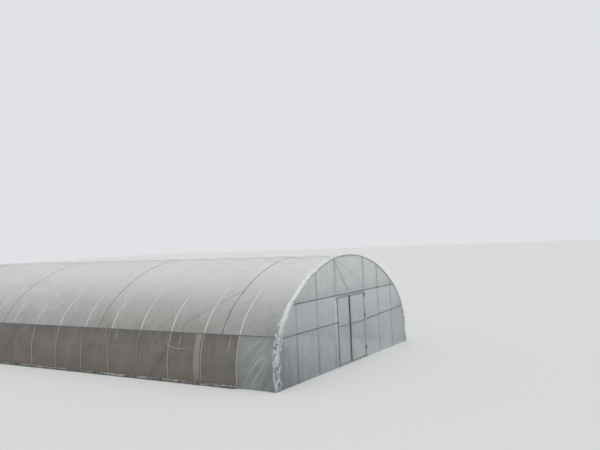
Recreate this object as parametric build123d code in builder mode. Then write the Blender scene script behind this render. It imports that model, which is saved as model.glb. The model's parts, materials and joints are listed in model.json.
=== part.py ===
"""A tunnel greenhouse of steel hoops under plastic film, with a pair of doors in its front gable.

The hoops stand across X, the tunnel runs along Y and Z is up. The origin is on the ground in the
middle of the tunnel, and the gable with the doors faces -Y. All sizes are in millimetres.
"""

import os
from math import asin, atan2, cos, degrees, radians, sin

from build123d import *

# The tunnel
SPAN = 8000  # foot to foot, between pipe centres
RIDGE = 3200  # from the ground to the pipe's centre at the top
LEG = 400  # upright stretch at each foot of a hoop
SHOULDER_R = 2100  # bend between the leg and the flatter top
HOOP_PITCH = 1200
BAYS = 15  # spaces between hoops

# Pipes, tubes and clamp channels
HOOP_PIPE = 32  # hoops and gable posts
THIN_PIPE = 25  # ridge purlin, lintel pipes and braces
DOOR_POST_WIDTH = 50
DOOR_POST_DEPTH = 40
CHANNEL_WIDTH = 32  # across its back
CHANNEL_MOUTH = 24
CHANNEL_DEPTH = 13
CHANNEL_WALL = 2

# Covers
FILM = 4  # drawn thicker than the real film
NET = 3
SEAT = 0.3  # room between a piece and the pipe that it lies on
EDGE = 0.5  # room between a film's edge and the channel that grips it

# Sides
SIDE_CHANNEL_HEIGHT = 1320
ROLL_DIAMETER = 90  # side curtain, rolled down to the ground
ROLL_PIPE_END = 60  # how far its pipe stands out of the roll

# Straps over the roof
STRAP_WIDTH = 18
STRAP_THICKNESS = 4
FIRST_STRAP = 1800  # from the gable arch
STRAP_PITCH = 4800

# Diagonal braces in the four corners, under the hoops
BRACE_ANGLES = (71, 61, 51, 17)  # how far up the gable arch and the next hoops it crosses them
BRACE_FOOT = 800  # from the last hoop that it crosses to where it enters the ground
BRACE_BEND = 250

# Gables
POST_INSET = 1050  # from the arch's foot to the outer post
LINTEL_GAP = 4  # between the door head and the clamp channel above it
LINTEL_PIPE_RISE = 95  # from that channel up to the lintel pipe
LEFT_RAIL_HEIGHT = 1280
RIGHT_RAIL_LOW = 1160  # at the door post
RIGHT_RAIL_HIGH = 1280  # at the arch
GABLE_BRACE_TOP_X = -820
GABLE_BRACE_FOOT_X = 15

# Doors
DOORWAY = 1750  # between the door posts
DOORWAY_X = 110  # its middle, to the right of the tunnel's
DOOR_HEAD = 40
LEAF_TOP = 1995
LEAF_FOOT = 20
LEAF_DEPTH = 30
LEAF_RAIL = 30
LEAF_MID_RAIL_HEIGHT = 1150
HINGE_STILE = 40
MEETING_STILE = 45
HINGE_GAP = 5
HEAD_GAP = 10
MEETING_SHIFT = -110  # the leaves meet left of the doorway's middle
MEETING_GAP = 30
FILM_LAP = 10  # how far film reaches over a stile or post

# Hinges
TOP_HINGE = 85  # down from the leaf's top
MIDDLE_HINGE = 145  # up from the middle rail
FOOT_HINGE = 280  # up from the leaf's foot
HINGE_HEIGHT = 110
HINGE_PLATE = 3
HINGE_PLATE_WIDTH = 22
KNUCKLE_R = 7
KNUCKLE_GAP = 1
PIN_R = 3
PIN_FIT = 0.05

# Surplus film bunched along the gable arches
HEM_FOOT = 220  # its width at the ground
HEM_END = 60  # and at its upper end
HEM_ANGLE = 70  # how far up the arch it reaches
HEM_POINTS = 5
HEM_THICKNESS = 45

LENGTH = BAYS * HOOP_PITCH
LINTEL_HEIGHT = LEAF_TOP + HEAD_GAP + DOOR_HEAD + LINTEL_GAP + CHANNEL_WIDTH / 2
LINTEL_PIPE_HEIGHT = LINTEL_HEIGHT + LINTEL_PIPE_RISE
PIPE_R = HOOP_PIPE / 2
THIN_R = THIN_PIPE / 2

# The arch is a leg, a shoulder arc and one flatter arc over the top that meets both shoulders
SHOULDER_X = SPAN / 2 - SHOULDER_R
SHOULDER_RISE = RIDGE - LEG
TOP_R = (SHOULDER_X**2 + SHOULDER_RISE**2 - SHOULDER_R**2) / (2 * (SHOULDER_RISE - SHOULDER_R))
TOP_Z = RIDGE - TOP_R
SHOULDER_ANGLE = degrees(atan2(LEG - TOP_Z, SHOULDER_X))

# Planes of the covers, counted out from the hoops' centre line and from the middle of the tunnel
COVER_IN = PIPE_R + SEAT
ROOF_OUT = COVER_IN + FILM
GABLE_FACE = LENGTH / 2 + PIPE_R
GABLE_COVER = GABLE_FACE + SEAT
COVER_END = GABLE_COVER + FILM
FIRST_HOOP = LENGTH / 2 - HOOP_PITCH

os.makedirs("parts", exist_ok=True)


def save(piece, name):
    """Label a finished piece and write it to a file of its own."""
    piece.part.label = name
    export_step(piece.part, f"parts/{name}.step")


def angle_at(height):
    """The angle up the arch, 0 at the leg and 90 at the top, at which the pipe has this height."""
    if height < LEG + SHOULDER_R * sin(radians(SHOULDER_ANGLE)):
        return degrees(asin((height - LEG) / SHOULDER_R))
    return degrees(asin((height - TOP_Z) / TOP_R))


def on_arch(angle, out=0):
    """X and Z of a point on the left half of the arch, moved out from the pipe's centre line."""
    turn = radians(angle)
    if angle < SHOULDER_ANGLE:
        reach = SHOULDER_R + out
        return (-SHOULDER_X - reach * cos(turn), LEG + reach * sin(turn))
    reach = TOP_R + out
    return (-reach * cos(turn), TOP_Z + reach * sin(turn))


def arch_run(start, end, out):
    """Draw the arch from one angle, counted from the left leg, to another and return its ends."""
    lines = []
    for centre, radius, low, high in (
        ((-SHOULDER_X, LEG), SHOULDER_R, 0, SHOULDER_ANGLE),
        ((0, TOP_Z), TOP_R, SHOULDER_ANGLE, 180 - SHOULDER_ANGLE),
        ((SHOULDER_X, LEG), SHOULDER_R, 180 - SHOULDER_ANGLE, 180),
    ):
        first, last = max(start, low), min(end, high)
        if first < last:
            lines.append(CenterArc(centre, radius + out, 180 - first, first - last))
    return lines[0] @ 0, lines[-1] @ 1


def arch_line(out):
    """Draw the whole arch, foot to foot, moved out from the pipe's centre line."""
    half = SPAN / 2 + out
    Line((-half, 0), (-half, LEG))
    arch_run(0, 180, out)
    Line((half, LEG), (half, 0))


def arch_band(start, end, near, far):
    """Draw a closed band along the arch, between two distances out from the pipe's centre line."""
    near_start, near_end = arch_run(start, end, near)
    far_start, far_end = arch_run(start, end, far)
    Line(near_start, far_start)
    Line(near_end, far_end)


def arch_region(out):
    """The face inside the arch, down to the ground, for trimming what ends at a hoop."""
    with BuildSketch(Plane.XZ) as region:
        with BuildLine():
            arch_line(out)
            Line((SPAN / 2 + out, 0), (-SPAN / 2 - out, 0))
        make_face()
    return region.sketch


INSIDE_ARCH = arch_region(-PIPE_R - SEAT)
WITHIN_COVER = arch_region(PIPE_R)
WITHIN_CHANNEL = arch_region(-CHANNEL_WIDTH / 2 - EDGE)


# Hoops
with BuildPart() as one_hoop:
    with BuildLine(Plane.XZ):
        arch_line(0)
    with BuildSketch(Plane.XY):
        with Locations((-SPAN / 2, 0)):
            Circle(PIPE_R)
    sweep()

with BuildPart() as hoops:
    with GridLocations(0, HOOP_PITCH, 1, BAYS - 1):
        add(one_hoop.part)
save(hoops, "hoops")

for name, y in (("front_arch", -LENGTH / 2), ("back_arch", LENGTH / 2)):
    with BuildPart() as gable_arch:
        with Locations((0, y, 0)):
            add(one_hoop.part)
    save(gable_arch, name)

# Ridge purlin, tied up under the hoops
with BuildPart() as ridge_purlin:
    with BuildSketch(Plane.XZ):
        with Locations((0, RIDGE - PIPE_R - SEAT - THIN_R)):
            Circle(THIN_R)
    extrude(amount=GABLE_FACE, both=True)
save(ridge_purlin, "ridge_purlin")


# Clamp channels, in which a sprung wire holds the edges of the covers
CHANNEL_LEAN = (CHANNEL_WIDTH - CHANNEL_MOUTH) / 2 / CHANNEL_DEPTH
CHANNEL_FLOOR = CHANNEL_WIDTH / 2 - CHANNEL_LEAN * CHANNEL_WALL - CHANNEL_WALL
CHANNEL_SECTION = (
    (-CHANNEL_WIDTH / 2, 0),
    (CHANNEL_WIDTH / 2, 0),
    (CHANNEL_MOUTH / 2, CHANNEL_DEPTH),
    (CHANNEL_MOUTH / 2 - CHANNEL_WALL, CHANNEL_DEPTH),
    (CHANNEL_FLOOR, CHANNEL_WALL),
    (-CHANNEL_FLOOR, CHANNEL_WALL),
    (CHANNEL_WALL - CHANNEL_MOUTH / 2, CHANNEL_DEPTH),
    (-CHANNEL_MOUTH / 2, CHANNEL_DEPTH),
)


def channel(start, end, outward):
    """A clamp channel whose back runs from start to end and which opens outward."""
    run = Vector(end) - Vector(start)
    with BuildPart() as bar:
        with BuildSketch(Plane(origin=start, x_dir=Vector(outward).cross(run), z_dir=run)):
            with BuildLine():
                Polyline(*CHANNEL_SECTION, close=True)
            make_face()
        extrude(amount=run.length)
    return bar


CHANNEL_ANGLE = angle_at(SIDE_CHANNEL_HEIGHT)
CHANNEL_HALF_ANGLE = degrees((CHANNEL_WIDTH / 2 + EDGE) / (SHOULDER_R + COVER_IN))
channel_x, channel_z = on_arch(CHANNEL_ANGLE, COVER_IN)
channel_out = (-cos(radians(CHANNEL_ANGLE)), 0, sin(radians(CHANNEL_ANGLE)))
left_clamp_channel = channel(
    (channel_x, -GABLE_FACE, channel_z), (channel_x, GABLE_FACE, channel_z), channel_out
)
save(left_clamp_channel, "left_clamp_channel")

with BuildPart() as right_clamp_channel:
    mirror(left_clamp_channel.part, about=Plane.YZ)
save(right_clamp_channel, "right_clamp_channel")

# One more channel is bent along the face of each gable arch
with BuildPart() as front_arch_channel:
    with BuildLine(Plane.XZ.offset(GABLE_COVER)):
        arch_line(0)
    with BuildSketch(Plane(origin=(-SPAN / 2, -GABLE_COVER, 0), x_dir=(-1, 0, 0), z_dir=(0, 0, 1))):
        with BuildLine():
            Polyline(*CHANNEL_SECTION, close=True)
        make_face()
    sweep()
save(front_arch_channel, "front_arch_channel")

with BuildPart() as back_arch_channel:
    mirror(front_arch_channel.part, about=Plane.XZ)
save(back_arch_channel, "back_arch_channel")


# Roof film, in strips that meet edge to edge
ROOF_EDGE = CHANNEL_ANGLE + CHANNEL_HALF_ANGLE
ROOF_STRIPS = ("left_eave_film", "left_roof_film", "ridge_film", "right_roof_film", "right_eave_film")
strip_angle = (180 - 2 * ROOF_EDGE) / len(ROOF_STRIPS)
for number, name in enumerate(ROOF_STRIPS):
    strip_start = ROOF_EDGE + number * strip_angle
    with BuildPart() as roof_strip:
        with BuildSketch(Plane.XZ):
            with BuildLine():
                arch_band(strip_start, strip_start + strip_angle, COVER_IN, ROOF_OUT)
            make_face()
        extrude(amount=COVER_END, both=True)
    save(roof_strip, name)

# Straps over the film, from one side channel to the other
strap_spaces = round((LENGTH - 2 * FIRST_STRAP) / STRAP_PITCH)
strap_pitch = (LENGTH - 2 * FIRST_STRAP) / strap_spaces
with BuildPart() as one_strap:
    with BuildSketch(Plane.XZ):
        with BuildLine():
            strap_in = ROOF_OUT + SEAT
            arch_band(ROOF_EDGE, 180 - ROOF_EDGE, strap_in, strap_in + STRAP_THICKNESS)
        make_face()
    extrude(amount=STRAP_WIDTH / 2, both=True)

with BuildPart() as hold_down_straps:
    with GridLocations(0, strap_pitch, 1, strap_spaces + 1):
        add(one_strap.part)
save(hold_down_straps, "hold_down_straps")


# Sides below the clamp channels: net, with film in the end spaces
def side_cover(thickness, near, far):
    """A cover on the left side, from the ground to the clamp channel, between two places along Y."""
    top = CHANNEL_ANGLE - CHANNEL_HALF_ANGLE
    with BuildPart() as cover:
        with BuildSketch(Plane.XZ.offset(-near)):
            with BuildLine():
                ends = []
                for out in (COVER_IN, COVER_IN + thickness):
                    foot = Line((-SPAN / 2 - out, 0), (-SPAN / 2 - out, LEG)) @ 0
                    ends.append((foot, arch_run(0, top, out)[1]))
                Line(ends[0][0], ends[1][0])
                Line(ends[0][1], ends[1][1])
            make_face()
        extrude(amount=near - far)
    return cover


left_net = side_cover(NET, -FIRST_HOOP, FIRST_HOOP)
save(left_net, "left_net")

with BuildPart() as right_net:
    mirror(left_net.part, about=Plane.YZ)
save(right_net, "right_net")

front_side_film = side_cover(FILM, -COVER_END, -FIRST_HOOP)
with BuildPart() as left_end_films:
    add(front_side_film.part)
    mirror(about=Plane.XZ)
save(left_end_films, "left_end_films")

with BuildPart() as right_end_films:
    mirror(left_end_films.part, about=Plane.YZ)
save(right_end_films, "right_end_films")

# Side curtains, each rolled on a pipe that shows at its ends, on the ground outside the nets
with BuildPart() as left_curtain_roll:
    with BuildSketch(Plane.XZ):
        with Locations((-SPAN / 2 - COVER_IN - FILM - SEAT - ROLL_DIAMETER / 2, ROLL_DIAMETER / 2)):
            Circle(ROLL_DIAMETER / 2)
    extrude(amount=FIRST_HOOP, both=True)
    with BuildSketch(Plane.XZ):
        with Locations((-SPAN / 2 - COVER_IN - FILM - SEAT - ROLL_DIAMETER / 2, ROLL_DIAMETER / 2)):
            Circle(THIN_R)
    extrude(amount=FIRST_HOOP + ROLL_PIPE_END, both=True)
save(left_curtain_roll, "left_curtain_roll")

with BuildPart() as right_curtain_roll:
    mirror(left_curtain_roll.part, about=Plane.YZ)
save(right_curtain_roll, "right_curtain_roll")

# Wind braces, each bent to pass under the gable arch and three hoops down to the ground
BRACE_OUT = -PIPE_R - SEAT - THIN_R
brace_route = []
for number, angle in enumerate(BRACE_ANGLES):
    brace_x, brace_z = on_arch(angle, BRACE_OUT)
    brace_route.append(Vector(brace_x, -LENGTH / 2 + number * HOOP_PITCH, brace_z))
brace_route.append(Vector(-SPAN / 2 - BRACE_OUT, brace_route[-1].Y + BRACE_FOOT, 0))
brace_route[0] -= (brace_route[1] - brace_route[0]).normalized() * HOOP_PIPE
brace_route[-1] -= (brace_route[-2] - brace_route[-1]).normalized() * HOOP_PIPE

with BuildPart() as front_left_brace:
    with BuildLine() as brace_line:
        FilletPolyline(*brace_route, radius=BRACE_BEND)
    with BuildSketch(Plane(origin=brace_line.wire() @ 0, z_dir=brace_line.wire() % 0)):
        Circle(THIN_R)
    sweep()
    split(bisect_by=Plane.XZ.offset(GABLE_FACE), keep=Keep.BOTTOM)
    split(bisect_by=Plane.XY, keep=Keep.TOP)

with BuildPart() as wind_braces:
    add(front_left_brace.part)
    mirror(about=Plane.YZ)
    mirror(about=Plane.XZ)
save(wind_braces, "wind_braces")

# Gable posts, cut to meet the arch from below
DOOR_LEFT = DOORWAY_X - DOORWAY / 2
DOOR_RIGHT = DOORWAY_X + DOORWAY / 2
DOOR_POST_X = (DOOR_LEFT - DOOR_POST_WIDTH / 2, DOOR_RIGHT + DOOR_POST_WIDTH / 2)
OUTER_POST_X = SPAN / 2 - POST_INSET
POST_X = (
    -OUTER_POST_X,
    (DOOR_POST_X[0] - OUTER_POST_X) / 2,
    (DOOR_POST_X[1] + OUTER_POST_X) / 2,
    OUTER_POST_X,
)
with BuildPart() as front_posts:
    with BuildSketch(Plane.XY):
        with Locations(*[(x, -LENGTH / 2) for x in POST_X]):
            Circle(PIPE_R)
    extrude(amount=RIDGE)
    extrude(INSIDE_ARCH, amount=LENGTH, both=True, mode=Mode.INTERSECT)
save(front_posts, "front_posts")

DOOR_POST_Y = -GABLE_FACE + DOOR_POST_DEPTH / 2
with BuildPart() as door_posts:
    with BuildSketch(Plane.XY):
        with Locations(*[(x, DOOR_POST_Y) for x in DOOR_POST_X]):
            Rectangle(DOOR_POST_WIDTH, DOOR_POST_DEPTH)
    extrude(amount=RIDGE)
    extrude(INSIDE_ARCH, amount=LENGTH, both=True, mode=Mode.INTERSECT)
save(door_posts, "door_posts")

with BuildPart() as door_head:
    with BuildSketch(Plane.XZ.offset(GABLE_FACE - DOOR_POST_DEPTH)):
        with Locations((DOORWAY_X, LEAF_TOP + HEAD_GAP + DOOR_HEAD / 2)):
            Rectangle(DOORWAY, DOOR_HEAD)
    extrude(amount=DOOR_POST_DEPTH)
save(door_head, "door_head")

with BuildPart() as back_posts:
    with BuildSketch(Plane.XY):
        with Locations(*[(x, LENGTH / 2) for x in POST_X + DOOR_POST_X]):
            Circle(PIPE_R)
    extrude(amount=RIDGE)
    extrude(INSIDE_ARCH, amount=LENGTH, both=True, mode=Mode.INTERSECT)
save(back_posts, "back_posts")


# Lintel pipes behind the posts, and the one diagonal above the doors
def lintel_pipe(y):
    """A level pipe from arch to arch."""
    with BuildPart() as pipe:
        with BuildSketch(Plane.YZ):
            with Locations((y, LINTEL_PIPE_HEIGHT)):
                Circle(THIN_R)
        extrude(amount=SPAN / 2, both=True)
        extrude(WITHIN_COVER, amount=LENGTH, both=True, mode=Mode.INTERSECT)
    return pipe


LINTEL_PIPE_Y = -GABLE_FACE + DOOR_POST_DEPTH + SEAT + THIN_R
save(lintel_pipe(LINTEL_PIPE_Y), "front_lintel_pipe")
save(lintel_pipe(LENGTH / 2 - PIPE_R - SEAT - THIN_R), "back_lintel_pipe")

brace_foot = Vector(GABLE_BRACE_FOOT_X, LINTEL_PIPE_Y, LINTEL_PIPE_HEIGHT)
brace_top = Vector(GABLE_BRACE_TOP_X, LINTEL_PIPE_Y, RIDGE)
with BuildPart() as gable_brace:
    with BuildSketch(Plane(origin=brace_foot, z_dir=brace_top - brace_foot)):
        Circle(THIN_R)
    extrude(amount=(brace_top - brace_foot).length * 2)
    extrude(WITHIN_COVER, amount=LENGTH, both=True, mode=Mode.INTERSECT)
    split(bisect_by=Plane.XY.offset(LINTEL_PIPE_HEIGHT + THIN_R + SEAT), keep=Keep.TOP)
save(gable_brace, "gable_brace")

# Clamp channels across the gables
LEFT_SIDE = DOOR_LEFT - DOOR_POST_WIDTH + FILM_LAP  # where film and rails end on the door posts
RIGHT_SIDE = DOOR_RIGHT + DOOR_POST_WIDTH - FILM_LAP
RAIL_REACH = SPAN / 2 + CHANNEL_WIDTH


def front_channel(x_start, z_start, x_end, z_end):
    """A clamp channel on the front of the gable, cut off at the arch's own channel."""
    bar = channel((x_start, -GABLE_COVER, z_start), (x_end, -GABLE_COVER, z_end), (0, -1, 0))
    with BuildPart() as trimmed:
        add(bar.part)
        extrude(WITHIN_CHANNEL, amount=LENGTH, both=True, mode=Mode.INTERSECT)
    return trimmed


front_lintel_channel = front_channel(-RAIL_REACH, LINTEL_HEIGHT, RAIL_REACH, LINTEL_HEIGHT)
save(front_lintel_channel, "front_lintel_channel")

left_rail = front_channel(-RAIL_REACH, LEFT_RAIL_HEIGHT, LEFT_SIDE, LEFT_RAIL_HEIGHT)
right_rail = front_channel(RIGHT_SIDE, RIGHT_RAIL_LOW, RAIL_REACH, RIGHT_RAIL_HIGH)
with BuildPart() as front_low_channels:
    add(left_rail.part)
    add(right_rail.part)
save(front_low_channels, "front_low_channels")

back_rail = front_channel(-RAIL_REACH, LEFT_RAIL_HEIGHT, RAIL_REACH, LEFT_RAIL_HEIGHT)
with BuildPart() as back_channels:
    mirror(front_lintel_channel.part, about=Plane.XZ)
    mirror(back_rail.part, about=Plane.XZ)
save(back_channels, "back_channels")


# Gable film, between the channels
def gable_film(*corners):
    """A flat sheet on the front gable with these X and Z corners, cut off at the arch's channel."""
    with BuildPart() as sheet:
        with BuildSketch(Plane.XZ.offset(GABLE_COVER)):
            with BuildLine():
                Polyline(*corners, close=True)
            make_face()
        extrude(amount=FILM)
        extrude(WITHIN_CHANNEL, amount=LENGTH, both=True, mode=Mode.INTERSECT)
    return sheet


GRIP = CHANNEL_WIDTH / 2 + EDGE  # from the middle of a channel to the film's edge
WALL = SPAN / 2
LINTEL_TOP = LINTEL_HEIGHT + GRIP
LINTEL_FOOT = LINTEL_HEIGHT - GRIP
LEFT_TOP = LEFT_RAIL_HEIGHT + GRIP
LEFT_FOOT = LEFT_RAIL_HEIGHT - GRIP

front_upper_film = gable_film(
    (-WALL, LINTEL_TOP), (WALL, LINTEL_TOP), (WALL, RIDGE + PIPE_R), (-WALL, RIDGE + PIPE_R)
)
save(front_upper_film, "front_upper_film")

left_middle = gable_film(
    (-WALL, LEFT_TOP), (LEFT_SIDE, LEFT_TOP), (LEFT_SIDE, LINTEL_FOOT), (-WALL, LINTEL_FOOT)
)
left_lower = gable_film(
    (-WALL - PIPE_R, 0), (LEFT_SIDE, 0), (LEFT_SIDE, LEFT_FOOT), (-WALL - PIPE_R, LEFT_FOOT)
)
with BuildPart() as front_left_films:
    add(left_middle.part)
    add(left_lower.part)
save(front_left_films, "front_left_films")

rail_slope = (RIGHT_RAIL_HIGH - RIGHT_RAIL_LOW) / (RAIL_REACH - RIGHT_SIDE)
rail_grip = GRIP * (1 + rail_slope**2) ** 0.5
rail_at_wall = RIGHT_RAIL_LOW + rail_slope * (WALL + PIPE_R - RIGHT_SIDE)
right_middle = gable_film(
    (RIGHT_SIDE, RIGHT_RAIL_LOW + rail_grip),
    (WALL + PIPE_R, rail_at_wall + rail_grip),
    (WALL + PIPE_R, LINTEL_FOOT),
    (RIGHT_SIDE, LINTEL_FOOT),
)
right_lower = gable_film(
    (RIGHT_SIDE, 0),
    (WALL + PIPE_R, 0),
    (WALL + PIPE_R, rail_at_wall - rail_grip),
    (RIGHT_SIDE, RIGHT_RAIL_LOW - rail_grip),
)
with BuildPart() as front_right_films:
    add(right_middle.part)
    add(right_lower.part)
save(front_right_films, "front_right_films")

with BuildPart() as back_upper_film:
    mirror(front_upper_film.part, about=Plane.XZ)
save(back_upper_film, "back_upper_film")

full_middle = gable_film((-WALL, LEFT_TOP), (WALL, LEFT_TOP), (WALL, LINTEL_FOOT), (-WALL, LINTEL_FOOT))
full_lower = gable_film(
    (-WALL - PIPE_R, 0), (WALL + PIPE_R, 0), (WALL + PIPE_R, LEFT_FOOT), (-WALL - PIPE_R, LEFT_FOOT)
)
with BuildPart() as back_lower_films:
    mirror(full_middle.part, about=Plane.XZ)
    mirror(full_lower.part, about=Plane.XZ)
save(back_lower_films, "back_lower_films")

# Surplus film, bunched in front of the gable along each leg of the arch
HEM_BACK = GABLE_COVER + CHANNEL_DEPTH + SEAT
hem_inner_points = []
for number in range(HEM_POINTS + 1):
    hem_share = number / HEM_POINTS
    hem_width = HEM_FOOT + (HEM_END - HEM_FOOT) * hem_share
    hem_inner_points.append(on_arch(HEM_ANGLE * hem_share, ROOF_OUT - hem_width))

with BuildPart() as front_left_hem:
    with BuildSketch(Plane.XZ.offset(HEM_BACK)):
        with BuildLine():
            hem_leg = Line((-SPAN / 2 - ROOF_OUT, 0), (-SPAN / 2 - ROOF_OUT, LEG))
            hem_tip = arch_run(0, HEM_ANGLE, ROOF_OUT)[1]
            hem_inner = Spline(*reversed(hem_inner_points), (-SPAN / 2 - ROOF_OUT + HEM_FOOT, 0))
            Line(hem_tip, hem_inner @ 0)
            Line(hem_inner @ 1, hem_leg @ 0)
        make_face()
    extrude(amount=HEM_THICKNESS)

with BuildPart() as front_hems:
    add(front_left_hem.part)
    mirror(about=Plane.YZ)
save(front_hems, "front_hems")

with BuildPart() as back_hems:
    mirror(front_hems.part, about=Plane.XZ)
save(back_hems, "back_hems")


# Door leaves: a welded frame behind a sheet of film
def leaf_frame(hinge_edge, meeting_edge):
    """The frame of one leaf, with a pane above and a pane below its middle rail."""
    toward = 1 if meeting_edge > hinge_edge else -1
    pane_start = hinge_edge + toward * HINGE_STILE
    pane_end = meeting_edge - toward * MEETING_STILE
    rail_foot = LEAF_MID_RAIL_HEIGHT - LEAF_RAIL / 2
    with BuildPart() as frame:
        with BuildSketch(Plane.XZ.offset(GABLE_FACE - LEAF_DEPTH)):
            with Locations(((hinge_edge + meeting_edge) / 2, (LEAF_FOOT + LEAF_TOP) / 2)):
                Rectangle(abs(meeting_edge - hinge_edge), LEAF_TOP - LEAF_FOOT)
            for low, high in (
                (LEAF_FOOT + LEAF_RAIL, rail_foot),
                (rail_foot + LEAF_RAIL, LEAF_TOP - LEAF_RAIL),
            ):
                with Locations(((pane_start + pane_end) / 2, (low + high) / 2)):
                    Rectangle(abs(pane_end - pane_start), high - low, mode=Mode.SUBTRACT)
        extrude(amount=LEAF_DEPTH)
    return frame


def leaf_film(hinge_edge, meeting_edge):
    """The sheet over one leaf, which leaves most of both stiles bare."""
    toward = 1 if meeting_edge > hinge_edge else -1
    start = hinge_edge + toward * (HINGE_STILE - FILM_LAP)
    end = meeting_edge - toward * (MEETING_STILE - FILM_LAP)
    with BuildPart() as sheet:
        with BuildSketch(Plane.XZ.offset(GABLE_COVER)):
            with Locations(((start + end) / 2, (LEAF_FOOT + LEAF_TOP) / 2)):
                Rectangle(abs(end - start), LEAF_TOP - LEAF_FOOT)
        extrude(amount=FILM)
    return sheet


MEETING_X = DOORWAY_X + MEETING_SHIFT
LEFT_LEAF = (DOOR_LEFT + HINGE_GAP, MEETING_X - MEETING_GAP / 2)
RIGHT_LEAF = (DOOR_RIGHT - HINGE_GAP, MEETING_X + MEETING_GAP / 2)
save(leaf_frame(*LEFT_LEAF), "left_leaf_frame")
save(leaf_film(*LEFT_LEAF), "left_leaf_film")
save(leaf_frame(*RIGHT_LEAF), "right_leaf_frame")
save(leaf_film(*RIGHT_LEAF), "right_leaf_film")

# Butt hinges on the outside, so that the leaves swing out
HINGE_X = DOOR_LEFT + HINGE_GAP / 2
HINGE_Y = -GABLE_FACE - KNUCKLE_R - SEAT
KNUCKLE = (HINGE_HEIGHT - 2 * KNUCKLE_GAP) / 3
OUTER_KNUCKLES = (0, 2 * (KNUCKLE + KNUCKLE_GAP))
MIDDLE_KNUCKLE = (KNUCKLE + KNUCKLE_GAP,)


def hinge_half(side, foot, knuckles):
    """One half of a hinge on the left door post: side is -1 for the post's half, 1 for the leaf's."""
    near = KNUCKLE_R + 2 * KNUCKLE_GAP
    plate_y = -GABLE_FACE - HINGE_PLATE / 2
    with BuildPart() as half:
        with BuildSketch(Plane.XY.offset(foot)):
            with Locations((HINGE_X + side * (near + HINGE_PLATE_WIDTH / 2), plate_y)):
                Rectangle(HINGE_PLATE_WIDTH, HINGE_PLATE)
        extrude(amount=HINGE_HEIGHT)
        for start in knuckles:
            with BuildSketch(Plane.XY.offset(foot + start)):
                with Locations((HINGE_X, HINGE_Y)):
                    Circle(KNUCKLE_R)
                with Locations((HINGE_X + side * near / 2, plate_y)):
                    Rectangle(near, HINGE_PLATE)
            extrude(amount=KNUCKLE)
        with BuildSketch(Plane.XY.offset(foot)):
            with Locations((HINGE_X, HINGE_Y)):
                Circle(PIN_R if side < 0 else PIN_R + PIN_FIT)
        extrude(amount=HINGE_HEIGHT, mode=Mode.ADD if side < 0 else Mode.SUBTRACT)
    return half


HINGE_HEIGHTS = (LEAF_FOOT + FOOT_HINGE, LEAF_MID_RAIL_HEIGHT + MIDDLE_HINGE, LEAF_TOP - TOP_HINGE)
with BuildPart() as left_post_hinges:
    for height in HINGE_HEIGHTS:
        add(hinge_half(-1, height - HINGE_HEIGHT / 2, OUTER_KNUCKLES).part)

DOORWAY_MIDDLE = Plane.YZ.offset(DOORWAY_X)
with BuildPart() as post_hinges:
    add(left_post_hinges.part)
    mirror(about=DOORWAY_MIDDLE)
save(post_hinges, "post_hinges")

with BuildPart() as left_leaf_hinges:
    for height in HINGE_HEIGHTS:
        add(hinge_half(1, height - HINGE_HEIGHT / 2, MIDDLE_KNUCKLE).part)
save(left_leaf_hinges, "left_leaf_hinges")

with BuildPart() as right_leaf_hinges:
    mirror(left_leaf_hinges.part, about=DOORWAY_MIDDLE)
save(right_leaf_hinges, "right_leaf_hinges")
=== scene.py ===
# %% [markdown]
# # A tunnel greenhouse under film and net
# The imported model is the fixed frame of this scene: round hoops, gable posts, clamp channels, door
# leaves and stand-ins for every cover. It is loaded first, because each later piece is placed from
# it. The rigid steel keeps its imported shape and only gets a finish. The covers are thin and soft,
# so each one is drawn again as a single sheet that hangs, bags or creases as the real film does.

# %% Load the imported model
import json
import math

import bpy
import numpy as np
from mathutils import Matrix, Vector


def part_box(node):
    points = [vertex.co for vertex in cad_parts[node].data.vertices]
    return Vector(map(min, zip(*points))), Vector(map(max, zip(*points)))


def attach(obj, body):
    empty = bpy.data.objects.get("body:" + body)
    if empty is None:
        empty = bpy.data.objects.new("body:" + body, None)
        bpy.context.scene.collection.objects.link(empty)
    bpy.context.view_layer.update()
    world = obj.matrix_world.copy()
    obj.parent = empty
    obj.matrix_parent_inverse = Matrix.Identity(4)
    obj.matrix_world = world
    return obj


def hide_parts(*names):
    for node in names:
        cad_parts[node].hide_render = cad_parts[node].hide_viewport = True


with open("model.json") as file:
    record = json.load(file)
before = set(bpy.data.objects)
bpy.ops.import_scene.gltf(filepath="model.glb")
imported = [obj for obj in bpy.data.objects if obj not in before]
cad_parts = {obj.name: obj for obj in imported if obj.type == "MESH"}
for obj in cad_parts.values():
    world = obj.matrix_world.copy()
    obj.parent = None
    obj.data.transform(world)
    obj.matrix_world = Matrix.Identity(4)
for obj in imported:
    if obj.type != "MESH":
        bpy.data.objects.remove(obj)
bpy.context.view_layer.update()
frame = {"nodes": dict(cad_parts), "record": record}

scene = bpy.context.scene
link = scene.collection.objects.link

# %% [markdown]
# ## Shader maths in plain Python
# A material is a tree of nodes, and writing one node and two links for every sum hides what is
# being worked out. The class below wraps one socket. Arithmetic on it adds the Math nodes, so
# that `1 - mask` or `dust * 0.4` reads as it would on paper, and one method adds any other node.

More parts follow.
